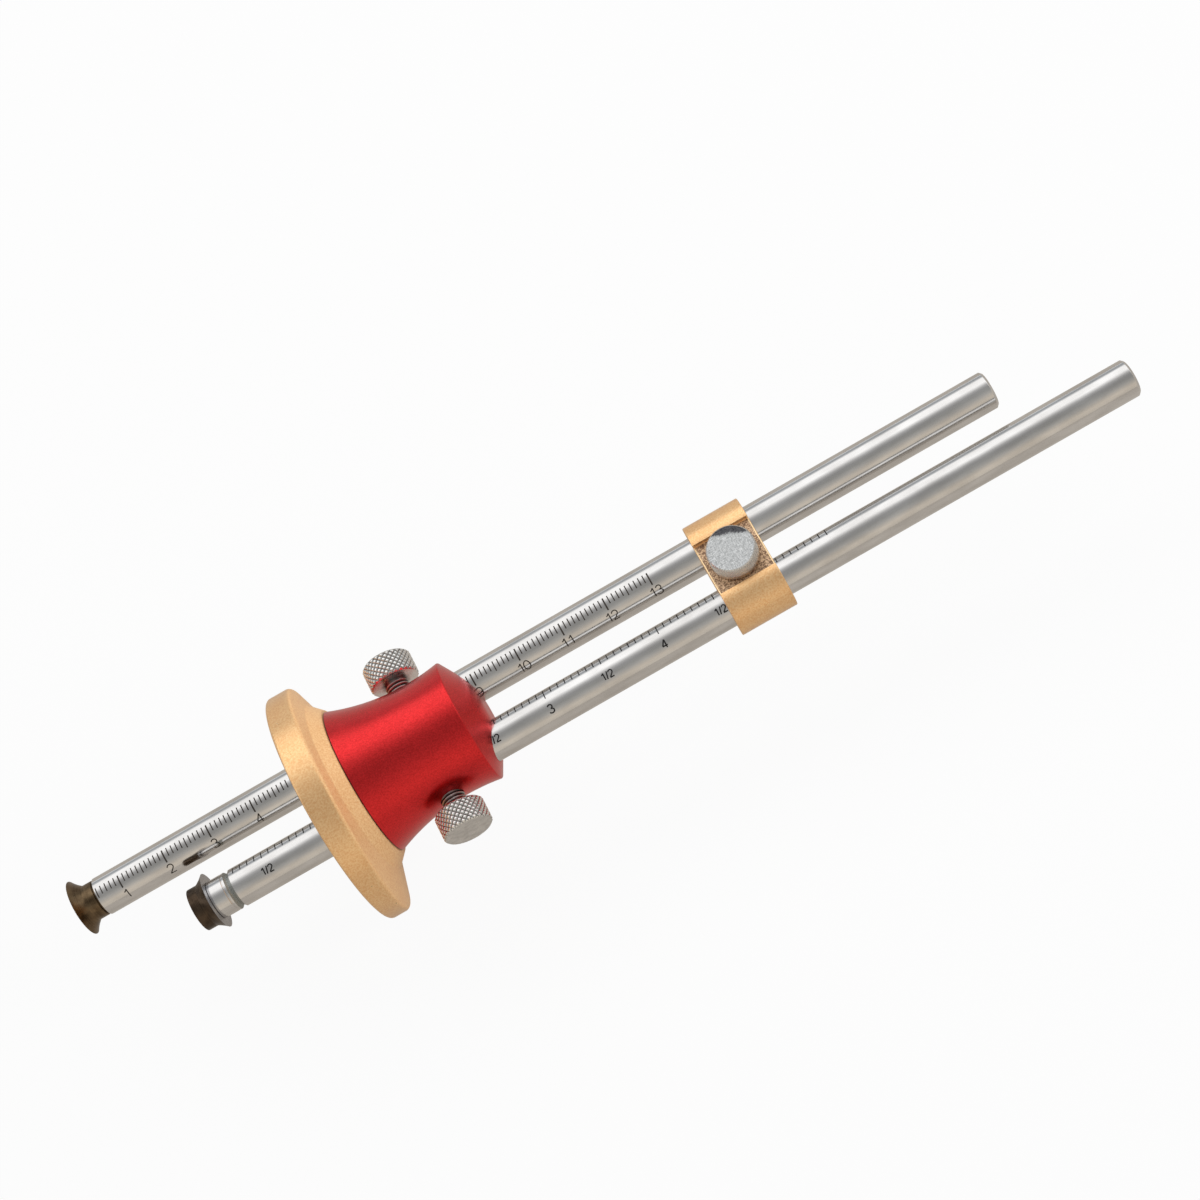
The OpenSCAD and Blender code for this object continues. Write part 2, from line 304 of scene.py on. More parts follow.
usual = (0.3, 0.7)  # most of a noise's values lie between these
bridgeScrewX = 94.3  # the middle of the bridge
anodised = {
    "gold": {"pale": (1.0, 0.655, 0.325), "deep": (0.87, 0.48, 0.205), "grain": 2900,
             "grainDepth": 0.000035, "metal": 0.76, "coat": 0.4,
             "backMetal": 0.4, "backRough": 0.25, "backEdge": (-0.4, -0.1)},
    "red": {"pale": (0.90, 0.024, 0.028), "deep": (0.66, 0.010, 0.012), "grain": 3400,
            "grainDepth": 0.00002, "metal": 1.0, "coat": 0.5,
            # the joint colour and edge make a painted shadow line just behind the fence
            "joint": (0.03, 0.004, 0.004), "jointShadowEdge": (0.12, 0.3)},
    # panel: its deep colour is painted shade on the sunk floors, its border colour a painted
    # highlight
    "panel": {"pale": (0.80, 0.54, 0.33), "deep": (0.22, 0.12, 0.065), "grain": 3500,
              "paintedHighlight": (1.0, 0.74, 0.42), "along": 5.9, "across": 5.85, "z": 5.0,
              "skin": 0.03, "rough": 0.12},
    "tones": (0.47, 0.78), "rough": (0.27, 0.35), "coatRough": 0.3, "clouds": 90,
    "cloudShare": 0.25, "wear": 300,
}


# Bead-blasted and dyed aluminium: a grain of dimples, darker in its pits, under a clear layer.
# On the bridge, the sunk floors between the rods are darker and coarser: the coarse speckle is
# their grain, their darkness is painted shade, and a painted highlight runs along their ends.
# On the fence, the back (where the distance along plus a share of the radius passes a value) is
# duller. On the body, a painted shadow darkens the edge that meets the fence.
def blasted(name, look, panel=None, back=None, joint=None):
    finish = Finish(name, Metallic=look["metal"], Coat_Weight=look["coat"],
                    Coat_Roughness=anodised["coatRough"])
    grain = finish.noise(look["grain"], 2.0)
    clouds = finish.noise(anodised["clouds"], 3.0) * anodised["cloudShare"]
    tone = finish.between(grain + clouds, *anodised["tones"])
    colour = finish.mixed(tone, look["deep"], look["pale"])
    rough = finish.between(finish.noise(anodised["wear"], 3.0), *usual, *anodised["rough"])
    if back:
        slope, top = back
        radius = finish.length(finish.stretched((0, 1, 1)))
        place = finish.axis(finish.place, "X") + radius * slope
        dull = finish.edge(place, top, look["backEdge"])
        rough = rough + dull * look["backRough"]
        finish.feed(Metallic=dull * (look["backMetal"] - look["metal"]) + look["metal"])
    # Painted shadow: a thin band of the body just behind the fence darkens to near black
    if joint:
        line = finish.edge(finish.axis(finish.place, "X"), joint, look["jointShadowEdge"])
        colour = finish.mixed(line, look["joint"], colour)
    if panel:
        local = finish.stretched((1, 1, 1), (bridgeScrewX * mm, 0, 0))
        x, y, z = (abs(finish.axis(local, axis)) for axis in "XYZ")
        low, high = (panel["z"] - panel["skin"]) * mm, (panel["z"] + panel["skin"]) * mm
        sunk = (y < panel["across"] * mm) * (z < high) * (z > low)
        floor = sunk * (x < panel["along"] * mm)
        # Painted shade: the floors get a dark coarse speckle. Painted highlight: the rest of the
        # sunk surface, at the floors' ends, gets the bright border colour
        spots = finish.between(finish.noise(panel["grain"], 2.0), 0.42, 0.62)
        shadedSpeckle = finish.mixed(spots, panel["deep"], panel["pale"])
        colour = finish.mixed(sunk, colour, panel["paintedHighlight"])
        colour = finish.mixed(floor, colour, shadedSpeckle)
        rough = rough + floor * panel["rough"]
    normal = finish.raised(grain, look["grainDepth"], 0.9)
    return finish.feed(Base_Color=colour, Roughness=rough, Normal=normal)


steel = {"pale": (0.80, 0.79, 0.78), "dull": (0.66, 0.645, 0.63), "rough": (0.18, 0.10),
         "lines": (9000, 60, 60), "lineDepth": 0.0000015, "smears": (120, 420, 420),
         "grooveTone": (0.44, 0.46, 0.44), "grooveRough": 0.4}


# Centreless-ground bar: very fine lines round the rod, and faint smears where it is handled.
# Past the distance groove along X, if one is given, the steel is darker, a little green, and
# rougher.
def ground(name, groove=None):
    finish = Finish(name, Metallic=1.0)
    lines = finish.noise(1.0, 2.0, finish.stretched(steel["lines"]))
    smears = finish.noise(1.0, 4.0, finish.stretched(steel["smears"]))
    tone = finish.between(smears + lines * 0.15, 0.42, 0.78)
    colour = finish.mixed(tone, steel["dull"], steel["pale"])
    rough = finish.between(smears + lines * 0.3, 0.45, 0.9, *steel["rough"])
    if groove:
        pastGroove = finish.axis(finish.place, "X") > groove * mm
        colour = finish.mixed(pastGroove, colour, steel["grooveTone"])
        rough = rough + pastGroove * steel["grooveRough"]
    normal = finish.raised(lines, steel["lineDepth"], 0.5)
    return finish.feed(Base_Color=colour, Roughness=rough, Normal=normal)


marks = {
    "metric": {"colour": (0.028, 0.023, 0.019), "rough": 0.5},
    "inch": {"colour": (0.012, 0.011, 0.011), "rough": 0.45},
    "speckle": 5000, "paler": 1.6, "rougher": 0.15, "shine": 0.25,
}


# Laser-blackened marks: a thin dark oxide, hardly shiny, with paler and rougher specks
def marked(name, look):
    finish = Finish(name, Specular_IOR_Level=marks["shine"])
    speckle = finish.noise(marks["speckle"], 2.0)
    pale = [level * marks["paler"] for level in look["colour"]]
    return finish.feed(
        Base_Color=finish.mixed(finish.between(speckle, 0.35, 0.7), look["colour"], pale),
        Roughness=finish.between(speckle, *usual, look["rough"], look["rough"] + marks["rougher"]))


bronze = {
    "metric": {"dark": (0.085, 0.055, 0.03), "light": (0.25, 0.175, 0.10)},
    "inch": {"dark": (0.045, 0.03, 0.02), "light": (0.13, 0.092, 0.062)},
    "bare": (0.40, 0.40, 0.42), "bareEdge": (-0.15, -0.08), "rough": (0.22, 0.38),
    "rings": 9000, "ringDepth": 0.000004, "blotches": 600,
}


# Hardened and bronzed steel, turned: rings round the axis, with blotches of oxide. A flat face
# at faceX is left bare where it was ground.
def bronzed(name, look, centre, faceX=None):
    finish = Finish(name, Metallic=1.0)
    radius = finish.length(finish.stretched((0, 1, 1), centre))
    along = finish.axis(finish.place, "X")
    track = finish.node("CombineXYZ", {}, {0: radius * bronze["rings"], 1: along * bronze["rings"]})
    rings = finish.noise(1.0, 2.0, track)
    blotch = finish.noise(bronze["blotches"], 3.0)
    tone = finish.between(blotch + rings * 0.6, 0.55, 1.1)
    colour = finish.mixed(tone, look["dark"], look["light"])
    if faceX is not None:
        bare = finish.edge(along, faceX, bronze["bareEdge"])
        colour = finish.mixed(bare, colour, bronze["bare"])
    return finish.feed(
        Base_Color=colour,
        Roughness=finish.between(rings + blotch * 0.5, 0.5, 1.0, *bronze["rough"]),
        Normal=finish.raised(rings, bronze["ringDepth"], 0.6))


plating = {
    # the pit colour is painted shade in the knurl's hollows and a painted reflection of dark
    # surroundings on the thread and neck
    "bright": (0.86, 0.85, 0.83), "pit": (0.055, 0.045, 0.04), "rough": (0.17, 0.46),
    "haze": 900, "grain": 4200, "grainDepth": 0.000008, "top": 9.5, "topEdge": (-0.06, -0.02),
    "topRough": (0.30, 0.2),  # at least, and what scratches add
    "brushed": (0.36, 0.37, 0.37), "brushedPale": (0.80, 0.81, 0.81),
    "scratches": ((1100, 4500, 0), (4500, 1100, 0)), "scratchSpread": (0.16, 0.36),
    "scratchDepth": 0.00002,
    "bruise": (0.045, 0.045, 0.05), "bruiseWorn": (0.15, 0.15, 0.16), "bruiseTurn": 67.0,
    "bruiseHalf": 54.0, "bruiseReach": 2.05, "bruiseFray": 0.8, "bruiseEdge": (5.4, 5.75),
}


# Bright nickel plate. The pit attribute is 1 at the bottom of the knurl and 0 on its tops; it
# darkens the plate as painted shade.
# The bridge screw's top is brushed and has a dark bruise along one part of its edge: a spot is
# bruised where its radius, more towards the bruise's middle, passes the edge's.
def plated(name, brushed=False):
    finish = Finish(name, Metallic=1.0)
    pit = finish.node("Attribute", {"attribute_name": "pit"}, out="Fac")
    haze = finish.noise(plating["haze"], 3.0)
    tone = finish.between(pit + haze * 0.3, 0.55, 1.1)
    colour = finish.mixed(tone, plating["bright"], plating["pit"])
    rough = finish.between(haze + pit * 0.5, 0.3, 1.1, *plating["rough"])
    normal = finish.raised(finish.noise(plating["grain"], 2.0), plating["grainDepth"], 0.5)
    if brushed:
        across, along = (finish.noise(1.0, 3.0, finish.stretched(way))
                         for way in plating["scratches"])
        scratches = finish.between(across * along, *plating["scratchSpread"])
        top = finish.edge(finish.axis(finish.place, "Z"), plating["top"], plating["topEdge"])
        local = finish.stretched((1 / mm, 1 / mm, 0), (bridgeScrewX * mm, 0, 0))
        x, y = finish.axis(local, "X"), finish.axis(local, "Y")
        away = abs(y.maths("ARCTAN2", y, x) - math.radians(plating["bruiseTurn"]))
        away = away / math.radians(plating["bruiseHalf"])
        near = 1 - away * away * away * away
        reach = finish.length(local) + near * plating["bruiseReach"]
        bruise = finish.between(reach + scratches * plating["bruiseFray"], *plating["bruiseEdge"])
        plain = finish.mixed(scratches, plating["brushed"], plating["brushedPale"])
        worn = finish.mixed(scratches, plating["bruise"], plating["bruiseWorn"])
        colour = finish.mixed(top, colour, finish.mixed(bruise, plain, worn))
        least, more = plating["topRough"]
        rough = rough * (1 - top) + top * (least + more * scratches)
        normal = finish.raised(scratches * top, plating["scratchDepth"], 0.7, normal)
    return finish.feed(Base_Color=colour, Roughness=rough, Normal=normal)


plainMetals = {
    "dark_screw_steel": {"colour": (0.12, 0.12, 0.13), "rough": 0.34},
    "brass_tip": {"colour": (0.72, 0.48, 0.17), "rough": 0.28},
    "cloud": 1400, "darker": 0.75, "rougher": 0.14, "lines": 6000, "lineDepth": 0.000004,
}


# A plain small fastener or tip in one metal, with fine turning marks
def plainMetal(name):
    colour, rough = plainMetals[name]["colour"], plainMetals[name]["rough"]
    finish = Finish(name, Metallic=1.0)
    cloud = finish.noise(plainMetals["cloud"], 4.0)
    dark = [level * plainMetals["darker"] for level in colour]
    lines = finish.noise(plainMetals["lines"], 2.0)
    return finish.feed(
        Base_Color=finish.mixed(finish.between(cloud, *usual), dark, colour),
        Roughness=finish.between(cloud, *usual, rough, rough + plainMetals["rougher"]),
        Normal=finish.raised(lines, plainMetals["lineDepth"], 0.5))


bridgeGold = blasted("bridge_gold", anodised["gold"], panel=anodised["panel"])
rodSteel = ground("ground_steel")
inks = {name: marked(name + "_marks", marks[name]) for name in ("metric", "inch")}
nickel = plated("knurled_nickel")
screwBlack, brass = plainMetal("dark_screw_steel"), plainMetal("brass_tip")
print("finishes made")


fence = {"radius": 25.0, "drop": 3.7, "depth": 8.9, "rim": 3.1, "slope": 19.0, "flare": 44.0,
         "lip": 0.4, "hollow": 1.0, "frontEdge": 0.6, "backEdge": 1.1, "hubEdge": 0.1,
         "hold": 0.06, "columns": 320}
body = {"length": 28.4, "waist": 24.9, "waistX": 25.5, "curve": 44.0, "cone": 4.3, "tail": 11.4,
        "frontEdge": 0.35, "coneEdge": 0.7, "tailEdge": 9.0, "columns": 256}
bores = {"spacing": 13.0, "radius": 4.05, "chamfer": 0.25, "over": 2.0, "beyond": 6,
         "screwRing": 9.6, "lockX": 23.2,
         # screw holes: radius, start, end, and columns where not 64
         "lock": (2.55, 6.5, 22), "flangeScrew": (1.55, 8, 17, 48), "bridgeScrew": (2.1, -8, 8),
         # sunk holes in the working face: radius and depth, wider than the screws
         "sunk": [(0, -2), (5.0, -2), (1.62, 1.38), (1.62, 14), (0, 14)]}


# Body radius at a distance x: the waist radius plus how far the waist's circle has bent away
def bodyRadius(x):
    centre = body["waist"] / 2 + body["curve"]
    return centre - np.sqrt(body["curve"] ** 2 - (x - body["waistX"]) ** 2)


hubRadius, bodyEnd = bodyRadius(fence["depth"]), fence["depth"] + body["length"]
rodY = bores["spacing"] / 2


# The fence's back in section: a slope in from the rim, a steeper flare up to the body, and a
# rounding between them whose centre lies at its own radius from both lines.
def fenceBack():
    slope, flare = math.radians(fence["slope"]), math.radians(fence["flare"])
    rounding, lip = fence["hollow"], hubRadius + fence["lip"]
    top = fence["rim"] + math.tan(slope) * (fence["radius"] + fence["drop"])
    flareTop = fence["depth"] + math.tan(flare) * lip
    lift = rounding / math.cos(flare) - rounding / math.cos(slope)
    centreR = (flareTop - top + lift) / (math.tan(flare) - math.tan(slope))
    centreX = top + rounding / math.cos(slope) - math.tan(slope) * centreR
    turn = np.linspace(slope, flare, 8)
    arc = np.stack([centreR - rounding * np.sin(turn), centreX - rounding * np.cos(turn)], 1)
    return math.tan(slope), top, arc


# Fence surface: at each angle round the body's axis the profile runs from the middle of the
# working face to a rim that lies on the offset circle, then down the back to the body.
def fenceGrid():
    angle = columnAngles(fence["columns"])
    drop, front, back, hold = (fence[key] for key in ("drop", "frontEdge", "backEdge", "hold"))
    reach = np.sqrt(fence["radius"] ** 2 - (drop * np.cos(angle)) ** 2) - drop * np.sin(angle)
    slope, top, hollow = fenceBack()
    startR = hollow[0, 0]
    quarter = np.linspace(0, np.pi / 2, 7)[:, None]
    rimX = top - slope * reach
    wide = math.radians(90 - fence["slope"])
    run = back * math.tan(wide / 2)
    swing = np.linspace(0, wide, 9)[:, None]
    rows = [(0, 0)]
    rows += [(s * (reach - front), 0) for s in (0.35, 0.7, 0.9, 0.985)]
    rows.append((reach - front + front * np.sin(quarter), front - front * np.cos(quarter)))
    rows += [(reach, front + hold), (reach, rimX - run - hold)]
    rows.append((reach - back + back * np.cos(swing), rimX - run + back * np.sin(swing)))
    inner = reach - back + back * np.cos(wide)
    for s in (0.015, 0.3, 0.6, 0.9):
        radius = inner + (startR - inner) * s
        rows.append((radius, top - slope * radius))
    lip, edge, depth = hubRadius + fence["lip"], fence["hubEdge"], fence["depth"]
    steep = math.tan(math.radians(fence["flare"]))
    flare = [(r, depth + steep * (lip - r)) for r in (lip + 0.3, lip + edge)]
    end = [(lip + edge * 0.3, depth - edge * 0.35), (lip - edge, depth), (0, depth)]
    rows += [*hollow, *flare, *end]
    radius, along = (np.concatenate([np.atleast_2d(row[i] + 0 * reach) for row in rows])
                     for i in (0, 1))
    return revolved(radius, along, angle)


# Tools for the two rods' bores, their mouths flared by a chamfer
def rodHoles(start, end, chamfer=bores["chamfer"]):
    radius, over = bores["radius"], bores["over"]
    wide = radius + chamfer + over
    tool = turned(np.array([(0, start - over), (wide, start - over), (radius, start + chamfer),
                            (radius, end - chamfer), (wide, end + over), (0, end + over)]), 96)
    return [laid(tool, "x", (0, side * rodY, 0)) for side in (1, -1)]


# The same tool at both of the flange's screws
def screwHoles(tool):
    return [laid(tool, "x", (0, 0, side * bores["screwRing"])) for side in (1, -1)]


gold = blasted("gold_anodised", anodised["gold"], back=fenceBack()[:2])
# The red body carries a painted shadow line at the fence's depth, where it meets the fence
red = blasted("red_anodised", anodised["red"], joint=fence["depth"])
mesh = gridMesh("fence", laid(fenceGrid(), "x", (0, 0, 0)))
piece = addPiece("fence", mesh, "head", gold, ["fence_flange"])
cutAway(piece, [rodHoles(0, fence["depth"] + bores["beyond"])
                + screwHoles(turned(np.array(bores["sunk"], float), 64))])
shade(piece)
print("fence made")

bodyX, coneX = fence["depth"], bodyEnd - body["cone"]
waist = np.linspace(bodyX, coneX, 40)[1:-1]
flank = np.stack([bodyRadius(waist), waist], 1)
profile = np.concatenate([
    softened([(0, bodyX), (hubRadius, bodyX, body["frontEdge"]), flank[0]], 3, 0.01), flank[1:-1],
    softened([flank[-1], (bodyRadius(coneX), coneX, body["coneEdge"]),
              (body["tail"] / 2, bodyEnd, body["tailEdge"]), (0, bodyEnd)], 5)])
mesh = gridMesh("body", laid(turned(profile, body["columns"]), "x", (0, 0, 0)))
piece = addPiece("waisted_body", mesh, "head", red, ["head_body"])
lockHole = holeTool(*bores["lock"])
cutAway(piece, [
    rodHoles(bodyX - bores["beyond"], bodyEnd + bores["beyond"])
    + screwHoles(holeTool(*bores["flangeScrew"])),
    [laid(lockHole, "y", (bores["lockX"], 0, 0), side) for side in (1, -1)]])
shade(piece)
print("body made")


rods = {
    "metric": {"start": -48.3, "length": 203.3, "side": 1, "nose": 0.5},
    "inch": {"start": -23.0, "length": 202.5, "side": -1, "nose": 0.6},
    "radius": 4.0, "hole": 1.55, "holeDepth": 7, "tail": 0.5, "columns": 160,
}
seam = 0.015  # left between a wheel and the steel behind it, so that the wheel turns freely
for name in ("metric", "inch"):
    rod, node, radius, tail = rods[name], name + "_rod", rods["radius"], rods["tail"]
    start, end = rod["start"] + seam, rod["start"] + rod["length"]
    deep = start + rods["holeDepth"]
    profile = softened([(0, deep), (rods["hole"], deep), (rods["hole"], start),
                        (radius - rod["nose"], start), (radius, start + rod["nose"]),
                        (radius, end - tail, 0.2), (radius - tail, end, 0.15), (0, end)], 4)
    grid = laid(turned(profile, rods["columns"]), "x", (0, rod["side"] * rodY, 0))
    shade(addPiece(name + "_bar", gridMesh(name, grid), node, rodSteel, [node]))

# In mm, with the ticks' ends and the labels' feet in degrees round the rod from its top. Cells
# are shares of a label's height.
scales = {
    "metric": {"zero": -52.4, "side": 1, "step": 1.0, "first": 5, "last": 130, "from": -6.0,
               "width": 0.23, "short": 19.0, "middle": 25.0, "middleEvery": 5,
               "longWidth": 0.31, "long": 33.0, "longEvery": 10, "numbers": 13,
               "whole": {"foot": 70.5, "height": 2.08, "stroke": 0.23}},
    "inch": {"zero": -27.65, "side": -1, "step": 25.4 / 16, "first": 4, "last": 88,
             "from": -48.0, "width": 0.21, "short": -22.0, "middle": -18.0, "middleEvery": 8,
             "longWidth": 0.21, "long": -10.0, "longEvery": 16, "numbers": 5,
             "whole": {"foot": 36.5, "height": 1.72, "stroke": 0.29},
             "half": {"foot": 31.0, "height": 1.47, "stroke": 0.26}},
    "inkUnder": 0.03, "inkOver": 0.006, "cell": 0.7, "slashCell": 0.44, "wide": 1.12,
    "stations": 21, "tickStations": 13,
}
inkEdges = np.array([-scales["inkUnder"]] * 2 + [scales["inkOver"]] * 2)


# Points on a rod: x along it, turn in degrees from the top towards -Y, out from the surface
def onRod(x, turn, out, side):
    angle, radius = np.radians(turn), rods["radius"] + out
    y, z = side * rodY - radius * np.sin(angle), radius * np.cos(angle)
    return np.stack(np.broadcast_arrays(x, y, z), -1)


# Bands laid on a rod. Each band is a row of stations of four points, two under the rod's
# surface and two over it. A band whose ends meet is joined up, and any other is capped.
def bandMesh(name, points):
    bands, stations = points.shape[:2]
    meets = np.linalg.norm(points[:, 0] - points[:, -1], axis=-1).max(1) < 1e-6
    index = np.arange(bands * stations * 4).reshape(bands, stations, 4)
    nextOne = np.roll(index, -1, 1)
    nextOne[meets, -2] = index[meets, 0]
    quads = np.stack([index, nextOne, np.roll(nextOne, -1, 2), np.roll(index, -1, 2)], -1)[:, :-1]
    caps = np.concatenate([index[~meets, 0], index[~meets, -1, ::-1]])
    faces = np.concatenate([quads.reshape(-1, 4), caps])
    used, faces = np.unique(faces, return_inverse=True)
    mesh = bpy.data.meshes.new(name)
    mesh.from_pydata((points.reshape(-1, 3)[used] * mm).tolist(), [], faces.reshape(-1, 4).tolist())
    shape = bmesh.new()
    shape.from_mesh(mesh)
    bmesh.ops.recalc_face_normals(shape, faces=shape.faces)
    shape.to_mesh(mesh)
    shape.free()
    return mesh


# Ticks: thin curved slabs that start at one angle and end at another by their rank
def tickBands(scale):
    count = np.arange(scale["first"], scale["last"] + 1)
    middle, long = count % scale["middleEvery"] == 0, count % scale["longEvery"] == 0
    stop = np.where(long, scale["long"], np.where(middle, scale["middle"], scale["short"]))
    width = np.where(long, scale["longWidth"], scale["width"])[:, None, None]
    x = (scale["zero"] + count * scale["step"])[:, None, None]
    share = np.linspace(0, 1, scales["tickStations"])
    turn = (scale["from"] + (stop - scale["from"])[:, None] * share)[:, :, None]
    across = np.array([-0.5, 0.5, 0.5, -0.5]) * width
    return onRod(x + across, turn, inkEdges + 0 * turn, scale["side"])


# An arc of an ellipse, anticlockwise in degrees from its right
def arc(x, y, wide, tall, start, end):
    angle = np.radians(np.linspace(start, end, scales["stations"]))
    return np.stack([x + wide * np.cos(angle), y + tall * np.sin(angle)], 1)


# Centre lines of the numerals, 1 tall, each a list of strokes
numerals = {
    "0": [arc(0.28, 0.5, 0.28, 0.5, 0, 360)],
    "1": [[(0.02, 0.76), (0.17, 0.86), (0.27, 1)], [(0.27, 1), (0.27, 0)]],
    "2": [[*arc(0.27, 0.72, 0.25, 0.28, 168, -38), (0.02, 0.03)], [(0, 0), (0.54, 0)]],
    "3": [arc(0.26, 0.76, 0.23, 0.24, 160, -90), arc(0.26, 0.26, 0.28, 0.26, 90, -160)],
    "4": [[(0.42, 0), (0.42, 0.98)], [(0.42, 1), (0.02, 0.3)], [(0, 0.28), (0.58, 0.28)]],
    "5": [[(0.12, 1), (0.5, 1)], [(0.13, 1), (0.06, 0.5)], arc(0.27, 0.32, 0.28, 0.32, 138, -155)],
    "6": [arc(0.28, 0.31, 0.27, 0.31, 0, 360), arc(0.34, 0.42, 0.33, 0.58, 58, 185)],
    "7": [[(0, 1), (0.56, 1)], [(0.55, 1), (0.36, 0.64), (0.24, 0.3), (0.2, 0)]],
    "8": [arc(0.28, 0.76, 0.23, 0.24, 0, 360), arc(0.28, 0.26, 0.28, 0.26, 0, 360)],
    "/": [[(0, -0.03), (0.22, 1.03)]],
}
numerals["9"] = [(0.56, 1) - stroke for stroke in numerals["6"]]


# A label's strokes, bent round a rod: each figure stands in the middle of its own cell, each
# centre line is divided evenly and carries a band of the stroke's width, and its height becomes
# a turn round the rod.
def labelBands(label, x, look, side):
    share = np.linspace(0, 1, scales["stations"])
    paths, pen = [], 0.0
    for letter in label:
        lines = [np.asarray(line, float) * (scales["wide"], 1) for line in numerals[letter]]
        cell = scales["slashCell"] if letter == "/" else scales["cell"]
        spread = np.concatenate(lines)[:, 0]
        paths += [line + (pen + (cell - spread.min() - spread.max()) / 2, 0) for line in lines]
        pen += cell
    bands = []
    for path in paths:
        path = (path - (pen / 2, 0)) * look["height"]
        steps = np.append(0, np.cumsum(np.hypot(*np.diff(path, axis=0).T)))
        path = np.stack([np.interp(share * steps[-1], steps, column) for column in path.T], 1)
        along = np.gradient(path, axis=0)
        if np.hypot(*(path[0] - path[-1])) < 1e-6:
            along[0] = along[-1] = along[0] + along[-1]
        along /= np.hypot(*along.T)[:, None]
        sideways = np.stack([-along[:, 1], along[:, 0]], 1)[:, None] * look["stroke"] / 2
        flat = path[:, None] + sideways * np.array([1, -1, -1, 1])[:, None]
        turn = look["foot"] - np.degrees(flat[..., 1] / rods["radius"])
        bands.append(onRod(x + flat[..., 0], turn, inkEdges + 0 * turn, side))
    return bands


for name, ink in inks.items():
    scale, node = scales[name], name + "_rod"
    zero, unit, side = scale["zero"], scale["longEvery"] * scale["step"], scale["side"]
    addPiece(name + "_ticks", bandMesh(name, tickBands(scale)), node, ink)
    bands = []
    for count in range(1, scale["numbers"] + 1):
        bands += labelBands(str(count), zero + unit * count, scale["whole"], side)
        if "half" in scale:
            bands += labelBands("1/2", zero + unit * (count - 0.5), scale["half"], side)
    addPiece(name + "_numbers", bandMesh(name, np.stack(bands)), node, ink)
print("rods and scales made")


cutters = {
    "metric": {"rim": 5.9, "hub": 3.8, "hubLength": 2.1, "x": -52.4, "side": 1, "turned": 1},
    "inch": {"rim": 5.9, "hub": 4.5, "hubLength": 2.0, "x": -27.4, "side": -1, "turned": -1},
    "bevel": 2.0, "hollow": 9.0, "land": 0.06, "faceEdge": 0.05, "hole": 1.6, "sink": 2.95,
    "hubFace": 0.6, "hubEdge": 0.12, "hubHold": 0.1,
}


# Wheel cutter: hub, a hollow-ground bevel that is an arc from the hub to the rim, a narrow
# land on the rim, the flat face, and a countersunk hole at the outer end.
def cutterGrid(look):
    rim, hub, bevel, bend = look["rim"], look["hub"], cutters["bevel"], cutters["hollow"]
    hole, sink, length = cutters["hole"], cutters["sink"], bevel + look["hubLength"]
    chord = math.hypot(rim - hub, bevel)
    sag = math.sqrt(bend ** 2 - chord ** 2 / 4)
    centre = ((rim + hub) / 2 + sag * bevel / chord, bevel / 2 + sag * (rim - hub) / chord)
    start = math.atan2(bevel - centre[1], hub - centre[0])
    end = math.atan2(cutters["land"] - centre[1], rim - centre[0])
    turn = np.linspace(start, end, 14)
    hollow = np.stack([centre[0] + bend * np.cos(turn), centre[1] + bend * np.sin(turn)], 1)
    outer = softened([(hub - cutters["hubFace"], length), (hub, length, cutters["hubEdge"]),
                      (hub, bevel + cutters["hubHold"])], 3, 0.02)
    inner = [(rim, 0), (rim - cutters["faceEdge"], 0)]
    if look["turned"] > 0:
        inner += [(sink, 0), (hole, sink - hole), (hole, length)]
    else:
        inner += [(hole, 0), (hole, length - sink + hole), (sink, length)]
    return turned(np.concatenate([outer, hollow, inner]), rods["columns"])


for name in ("metric", "inch"):
    look, node = cutters[name], name + "_cutter"
    y = look["side"] * rodY
    grid = cutterGrid(look) * np.array([1, look["turned"], look["turned"]])
    mesh = gridMesh(name, laid(grid, "x", (look["x"], y, 0)), ring=True)
    face = None if look["turned"] > 0 else look["x"]
    finish = bronzed(node + "_steel", bronze[name], (0, y * mm, 0), face)
    shade(addPiece(name + "_wheel", mesh, node, finish, [node]), 30)

# Its side's rows are depth under the rod's radius, distance along and softening
collar = {"x": -27.4, "length": 4.4, "groove": 0.6, "hole": 1.6, "grooveLead": 0.02,
          "side": [(0.1, seam, 0.1), (0, 0.12), (0, 2.7), (0, 3.1), (0.1, 3.2), (0.1, 3.3),
                   (0, 3.4)]}
outer, hole, groove = rods["radius"], collar["hole"], collar["groove"]
grooveX = collar["length"] - groove
side = [(outer - deep, *rest) for deep, *rest in collar["side"]]
profile = softened([(hole, seam), *side, (outer, grooveX), (outer - groove, collar["length"]),
                    (hole, collar["length"])], 3, 0.02)
grid = laid(turned(profile, rods["columns"]), "x", (collar["x"], -rodY, 0))
grooved = ground("grooved_steel", collar["x"] + grooveX - collar["grooveLead"])
mesh = gridMesh("collar", grid, ring=True)
shade(addPiece("inch_collar", mesh, "inch_rod", grooved, ["inch_spacer"]), 30)
print("cutters made")


# Place of the head's face, length, body, and the nodes that it stands for
sunkScrews = {
    "metric_socket_screw": ((-52.4, rodY, 0), 10.1, "metric_cutter_screw", ["metric_cutter_screw"]),
    "inch_socket_screw": ((-31.4, -rodY, 0), 14.4, "inch_cutter_screw", ["inch_cutter_screw"]),
    "fence_screw_upper": ((0, 0, bores["screwRing"]), 16, "head", ["flange_screws"]),
    "fence_screw_lower": ((0, 0, -bores["screwRing"]), 16, "head", []),
}
sunkHead = {"radius": 2.9, "thread": 1.5, "socket": 1.0, "socketDepth": 1.1, "columns": 96}


